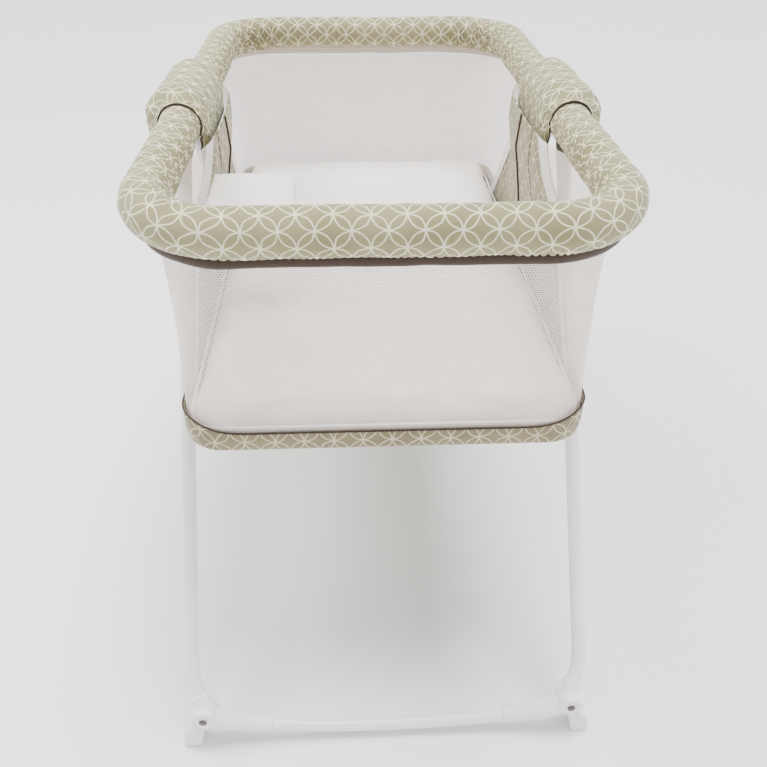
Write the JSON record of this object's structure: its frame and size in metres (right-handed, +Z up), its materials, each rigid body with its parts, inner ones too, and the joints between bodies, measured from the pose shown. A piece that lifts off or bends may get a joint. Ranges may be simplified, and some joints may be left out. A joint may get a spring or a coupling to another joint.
{
  "type": "bassinet on stand",
  "caption": "Rectangular bassinet with a padded fabric rim, mesh end walls and a flat cushion, on folding tubular legs with curved rocker bars and fold-out feet.",
  "frame": {"origin": "centre of the footprint on the floor", "axes": "+Z up, +Y along the length away from the pictured end, +X across"},
  "size_m": [0.5826, 1.0466, 0.7272],
  "materials": {
    "white_paint": "gloss",
    "bare_steel": "satin",
    "white_plastic": "satin",
    "dark_plastic": "satin",
    "dark_screw": "satin",
    "sage_fabric": "woven",
    "padded_fabric": "quilted",
    "mesh_fabric": "net",
    "pad_fabric": "soft",
    "board": "raw"
  },
  "bodies": {
    "basket": {"centre_left_panel": "sage_fabric", "centre_right_panel": "sage_fabric", "cushion": "sage_fabric", "far_left_panel": "sage_fabric", "far_mesh_wall": "mesh_fabric", "far_right_panel": "sage_fabric", "floor_board": "board", "floor_tray": "sage_fabric", "left_hub_cover": "sage_fabric", "left_hub_inner": "dark_plastic", "left_hub_outer": "dark_plastic", "left_latch_spring": "bare_steel", "near_left_panel": "sage_fabric", "near_mesh_wall": "mesh_fabric", "near_right_panel": "sage_fabric", "right_hub_cover": "sage_fabric", "right_hub_inner": "dark_plastic", "right_hub_outer": "dark_plastic", "right_latch_spring": "bare_steel"},
    "left_latch": {"left_latch_button": "white_plastic"},
    "right_latch": {"right_latch_button": "white_plastic"},
    "near_rail": {"near_left_rail_knuckle": "dark_plastic", "near_rail_pad": "padded_fabric", "near_rail_tube": "bare_steel", "near_right_rail_knuckle": "dark_plastic"},
    "near_leg": {"near_left_leg_knuckle": "dark_plastic", "near_left_leg_tube": "white_paint", "near_left_screw": "dark_screw", "near_left_shoe": "white_plastic", "near_right_leg_knuckle": "dark_plastic", "near_right_leg_tube": "white_paint", "near_right_screw": "dark_screw", "near_right_shoe": "white_plastic", "near_rocker_bar": "white_paint"},
    "near_left_foot": {"near_left_foot": "white_plastic"},
    "near_right_foot": {"near_right_foot": "white_plastic"},
    "far_rail": {"far_left_rail_knuckle": "dark_plastic", "far_rail_pad": "padded_fabric", "far_rail_tube": "bare_steel", "far_right_rail_knuckle": "dark_plastic"},
    "far_leg": {"far_left_leg_knuckle": "dark_plastic", "far_left_leg_tube": "white_paint", "far_left_screw": "dark_screw", "far_left_shoe": "white_plastic", "far_right_leg_knuckle": "dark_plastic", "far_right_leg_tube": "white_paint", "far_right_screw": "dark_screw", "far_right_shoe": "white_plastic", "far_rocker_bar": "white_paint"},
    "far_left_foot": {"far_left_foot": "white_plastic"},
    "far_right_foot": {"far_right_foot": "white_plastic"}
  },
  "joints": [
    {"name": "near_rail_fold", "type": "hinge", "parent": "basket", "child": "near_rail", "pos_m": [0, -0.06, 0.69], "axis": [1, 0, 0], "range_deg": [0, 24], "deforming": ["near_mesh_wall", "near_left_panel", "near_right_panel"]},
    {"name": "near_leg_fold", "type": "hinge", "parent": "basket", "child": "near_leg", "pos_m": [0, -0.013, 0.6775], "axis": [1, 0, 0], "range_deg": [0, 36]},
    {"name": "far_rail_fold", "type": "hinge", "parent": "basket", "child": "far_rail", "pos_m": [0, 0.06, 0.69], "axis": [-1, 0, 0], "range_deg": [0, 24], "deforming": ["far_mesh_wall", "far_left_panel", "far_right_panel"]},
    {"name": "far_leg_fold", "type": "hinge", "parent": "basket", "child": "far_leg", "pos_m": [0, 0.013, 0.6775], "axis": [-1, 0, 0], "range_deg": [0, 36]},
    {"name": "left_latch_press", "type": "slide", "parent": "basket", "child": "left_latch", "axis": [1, 0, 0], "range_m": [0, 0.003], "stiffness_N_per_m": 600, "springref_m": -0.002, "deforming": ["left_latch_spring"]},
    {"name": "right_latch_press", "type": "slide", "parent": "basket", "child": "right_latch", "axis": [-1, 0, 0], "range_m": [0, 0.003], "stiffness_N_per_m": 600, "springref_m": -0.002, "deforming": ["right_latch_spring"]},
    {"name": "near_left_foot_fold", "type": "hinge", "parent": "near_leg", "child": "near_left_foot", "pos_m": [-0.2505, -0.507, 0.0365], "axis": [0, 1, 0], "range_deg": [0, 90]},
    {"name": "near_right_foot_fold", "type": "hinge", "parent": "near_leg", "child": "near_right_foot", "pos_m": [0.2505, -0.507, 0.0365], "axis": [0, -1, 0], "range_deg": [0, 90]},
    {"name": "far_left_foot_fold", "type": "hinge", "parent": "far_leg", "child": "far_left_foot", "pos_m": [-0.2505, 0.507, 0.0365], "axis": [0, 1, 0], "range_deg": [0, 90]},
    {"name": "far_right_foot_fold", "type": "hinge", "parent": "far_leg", "child": "far_right_foot", "pos_m": [0.2505, 0.507, 0.0365], "axis": [0, -1, 0], "range_deg": [0, 90]}
  ]
}
